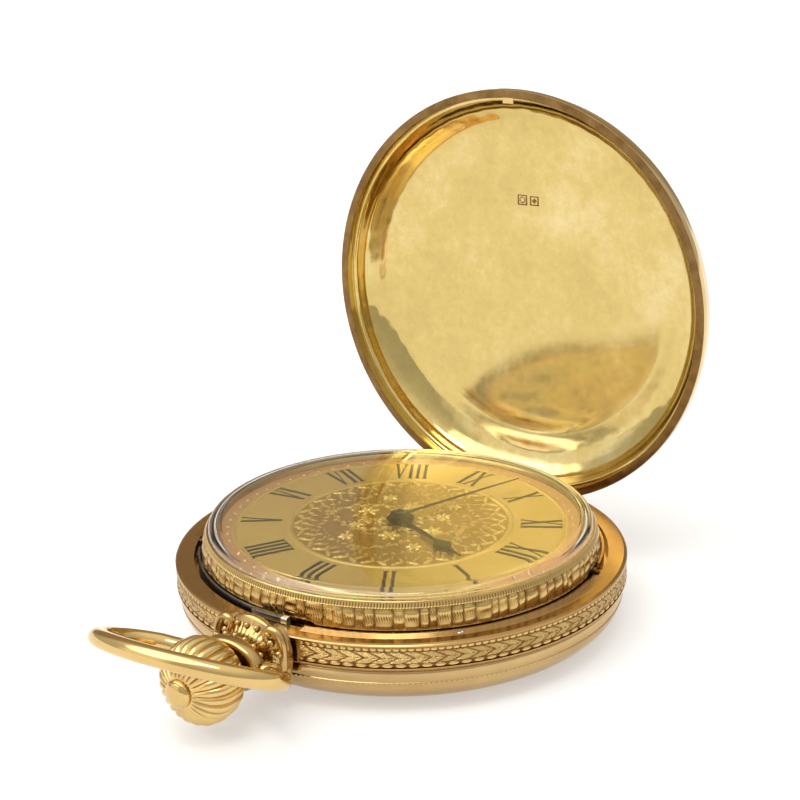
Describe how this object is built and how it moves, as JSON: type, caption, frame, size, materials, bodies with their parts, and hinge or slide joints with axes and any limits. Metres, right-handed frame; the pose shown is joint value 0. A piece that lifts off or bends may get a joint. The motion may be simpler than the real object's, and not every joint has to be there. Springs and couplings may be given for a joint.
{
  "type": "hunter pocket watch",
  "caption": "Full hunter pocket watch lying on its back with its sprung front cover open, fluted crown, pivoting bow, engraved dial, hands and a complete going train.",
  "frame": {"origin": "centre of the flat rest area on the back cover", "axes": "+Z out of the dial, +X to the pendant and the numeral III, +Y to XII; the front cover's hinge is at -X, parallel to Y"},
  "size_m": [0.0726, 0.0502, 0.0558],
  "materials": {
    "engraved_gold": "engraved yellow gold, leaf chasing with darker recesses",
    "gold": "yellow gold, polished and engine turned",
    "polished_gold": "bright polished yellow gold",
    "crystal_glass": "clear domed glass",
    "spring_steel": "dark tempered spring steel, polished edges",
    "steel": "fine ground steel",
    "blued_steel": "heat blued steel",
    "black_steel": "blackened steel, satin",
    "brass": "gilt brass",
    "nickel_plate": "nickel plated brass, frosted",
    "ruby": "synthetic ruby",
    "dial_enamel": "engraved gilt dial with raised beads"
  },
  "bodies": {
    "case": {"case_band": "engraved_gold", "front_hinge_pin": "gold", "back_hinge_pin": "gold", "bezel": "gold", "crystal": "crystal_glass", "cuvette": "polished_gold", "lift_spring": "spring_steel", "spring_screws": "spring_steel", "pendant": "gold", "bow_screws": "gold", "dial": "dial_enamel", "main_plate": "nickel_plate", "case_screws": "blued_steel", "hairspring": "blued_steel", "balance_cock": "nickel_plate", "regulator": "steel", "pallet_cock": "nickel_plate", "click_spring": "spring_steel", "barrel_bridge": "nickel_plate", "train_bridge": "nickel_plate", "train_jewels": "ruby", "bridge_screws": "blued_steel"},
    "front_cover": {"front_cover": "polished_gold"},
    "back_cover": {"back_cover": "polished_gold"},
    "bow": {"bow": "polished_gold"},
    "sleeve": {"pendant_sleeve": "gold"},
    "crown": {"crown": "gold", "crown_button": "gold", "winding_stem": "steel", "winding_pinion": "steel"},
    "lock_spring": {"lock_spring": "spring_steel"},
    "center": {"center_wheel": "brass"},
    "minute": {"cannon_pinion": "steel", "minute_hand": "black_steel"},
    "hour": {"hour_wheel": "brass", "hour_hand": "black_steel"},
    "minute_wheel": {"minute_wheel": "brass"},
    "barrel": {"barrel": "brass", "barrel_cover": "brass", "mainspring": "spring_steel"},
    "third": {"third_wheel": "brass"},
    "fourth": {"fourth_wheel": "brass"},
    "escape": {"escape_wheel": "steel"},
    "pallet": {"pallet_fork": "steel", "pallet_stones": "ruby"},
    "balance": {"balance_wheel": "brass", "balance_staff": "steel"},
    "ratchet": {"ratchet_wheel": "steel", "barrel_arbor": "steel"},
    "crown_wheel": {"crown_wheel": "steel"},
    "click": {"click": "steel"}
  },
  "joints": [
    {"name": "front_cover_hinge", "type": "hinge", "parent": "case", "child": "front_cover", "pos_m": [-0.02335, 0, 0.00742], "axis": [0, 1, 0], "range_deg": [0, 88.9], "stiffness_Nm_per_rad": 0.0008},
    {"name": "back_cover_hinge", "type": "hinge", "parent": "case", "child": "back_cover", "pos_m": [-0.0249, 0, 0.00495], "axis": [0, 1, 0], "range_deg": [0, 95]},
    {"name": "bow_pivot", "type": "hinge", "parent": "case", "child": "bow", "pos_m": [0.0293, 0, 0.006], "axis": [0, -1, 0], "range_deg": [-121, 69]},
    {"name": "crown_push", "type": "slide", "parent": "case", "child": "sleeve", "axis": [-1, 0, 0], "range_m": [0, 0.0008], "stiffness_N_per_m": 1200},
    {"name": "crown_turn", "type": "hinge", "parent": "sleeve", "child": "crown", "pos_m": [0.034, 0, 0.006], "axis": [1, 0, 0], "continuous": true},
    {"name": "lock_spring_travel", "type": "slide", "parent": "case", "child": "lock_spring", "axis": [-1, 0, 0], "range_m": [0, 0.0002]},
    {"name": "minute_hand_turn", "type": "hinge", "parent": "case", "child": "minute", "pos_m": [0, 0, 0.01], "axis": [0, 0, -1], "continuous": true},
    {"name": "hour_hand_turn", "type": "hinge", "parent": "case", "child": "hour", "pos_m": [0, 0, 0.01], "axis": [0, 0, -1], "continuous": true},
    {"name": "minute_wheel_turn", "type": "hinge", "parent": "case", "child": "minute_wheel", "pos_m": [0, -0.0036, 0.009], "axis": [0, 0, -1], "continuous": true},
    {"name": "center_wheel_turn", "type": "hinge", "parent": "case", "child": "center", "pos_m": [0, 0, 0.0065], "axis": [0, 0, -1], "continuous": true},
    {"name": "barrel_turn", "type": "hinge", "parent": "case", "child": "barrel", "pos_m": [0.0045, 0.00779, 0.005], "axis": [0, 0, -1], "continuous": true},
    {"name": "third_wheel_turn", "type": "hinge", "parent": "case", "child": "third", "pos_m": [-0.00585, -0.00337, 0.005], "axis": [0, 0, -1], "continuous": true},
    {"name": "fourth_wheel_turn", "type": "hinge", "parent": "case", "child": "fourth", "pos_m": [-0.00308, -0.00816, 0.005], "axis": [0, 0, -1], "continuous": true},
    {"name": "escape_wheel_turn", "type": "hinge", "parent": "case", "child": "escape", "pos_m": [0.00146, -0.00982, 0.005], "axis": [0, 0, -1], "continuous": true},
    {"name": "pallet_rock", "type": "hinge", "parent": "case", "child": "pallet", "pos_m": [0.00475, -0.00862, 0.005], "axis": [0, 0, 1], "range_deg": [-5, 5]},
    {"name": "balance_swing", "type": "hinge", "parent": "case", "child": "balance", "pos_m": [0.00832, -0.00732, 0.004], "axis": [0, 0, 1], "range_deg": [-135, 135], "stiffness_Nm_per_rad": 0.0000002},
    {"name": "ratchet_turn", "type": "hinge", "parent": "case", "child": "ratchet", "pos_m": [0.0045, 0.00779, 0.003], "axis": [0, 0, 1], "continuous": true},
    {"name": "crown_wheel_turn", "type": "hinge", "parent": "case", "child": "crown_wheel", "pos_m": [0.0096, 0.0033, 0.0026], "axis": [0, 0, 1], "continuous": true},
    {"name": "click_rock", "type": "hinge", "parent": "case", "child": "click", "pos_m": [-0.00133, 0.00992, 0.0026], "axis": [0, 0, 1], "range_deg": [0, 8], "stiffness_Nm_per_rad": 0.000001}
  ],
  "couplings": [
    {"joint": "lock_spring_travel", "follows": "crown_push", "ratio": 0.25},
    {"joint": "hour_hand_turn", "follows": "minute_hand_turn", "ratio": 0.083333},
    {"joint": "minute_wheel_turn", "follows": "minute_hand_turn", "ratio": -0.33333},
    {"joint": "escape_wheel_turn", "follows": "fourth_wheel_turn", "ratio": -10},
    {"joint": "third_wheel_turn", "follows": "fourth_wheel_turn", "ratio": -0.13333},
    {"joint": "center_wheel_turn", "follows": "fourth_wheel_turn", "ratio": 0.016667},
    {"joint": "barrel_turn", "follows": "fourth_wheel_turn", "ratio": -0.0025641},
    {"joint": "crown_wheel_turn", "follows": "crown_turn", "ratio": 0.58333},
    {"joint": "ratchet_turn", "follows": "crown_turn", "ratio": -0.31818}
  ]
}
